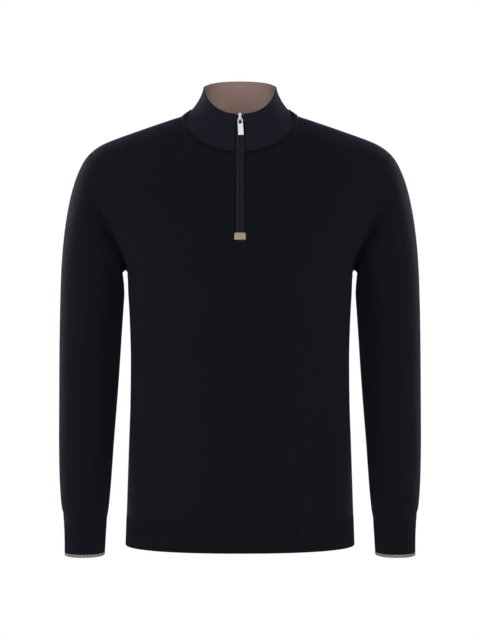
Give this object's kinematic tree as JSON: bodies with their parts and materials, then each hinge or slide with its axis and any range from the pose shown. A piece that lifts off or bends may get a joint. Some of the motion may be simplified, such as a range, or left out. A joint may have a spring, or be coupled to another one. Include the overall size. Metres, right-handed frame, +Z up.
{
  "type": "quarter zip sweater",
  "caption": "Hollow quarter zip knit sweater with stand collar, shoulder yokes, ribbed hem and cuffs, filled out as worn.",
  "frame": {"origin": "middle of the neck, level with the neck ends of the shoulders, where the wearer carries it", "axes": "+Z up, the front with the zip faces -Y, the wearer's left side is at +X"},
  "size_m": [0.5898, 0.2261, 0.772],
  "materials": {
    "navy_knit": "fine matt knit",
    "collar_knit": "fine matt knit",
    "yoke_knit": "smooth matt knit",
    "taupe_knit": "fine matt knit",
    "tipping_knit": "ribbed knit",
    "zip_tape": "woven tape",
    "patch_weave": "woven tape",
    "satin_steel": "satin metal"
  },
  "bodies": {
    "garment": {"front": "navy_knit", "back": "navy_knit", "sleeve_left": "navy_knit", "sleeve_right": "navy_knit", "cuff_left": "navy_knit", "cuff_right": "navy_knit", "hem_rib_front": "navy_knit", "hem_rib_back": "navy_knit", "collar": "collar_knit", "yoke_left": "yoke_knit", "yoke_right": "yoke_knit", "collar_facing": "taupe_knit", "cuff_tipping_left": "tipping_knit", "cuff_tipping_right": "tipping_knit", "zip_tape_left": "zip_tape", "zip_tape_right": "zip_tape", "zip_patch": "patch_weave", "zip_slider": "satin_steel"},
    "zip_pull": {"zip_pull": "satin_steel"}
  },
  "joints": [
    {"name": "zip_pull_swing", "type": "hinge", "parent": "garment", "child": "zip_pull", "pos_m": [0, -0.06606, -0.00599], "axis": [-1, 0, 0], "range_deg": [0, 150]}
  ]
}
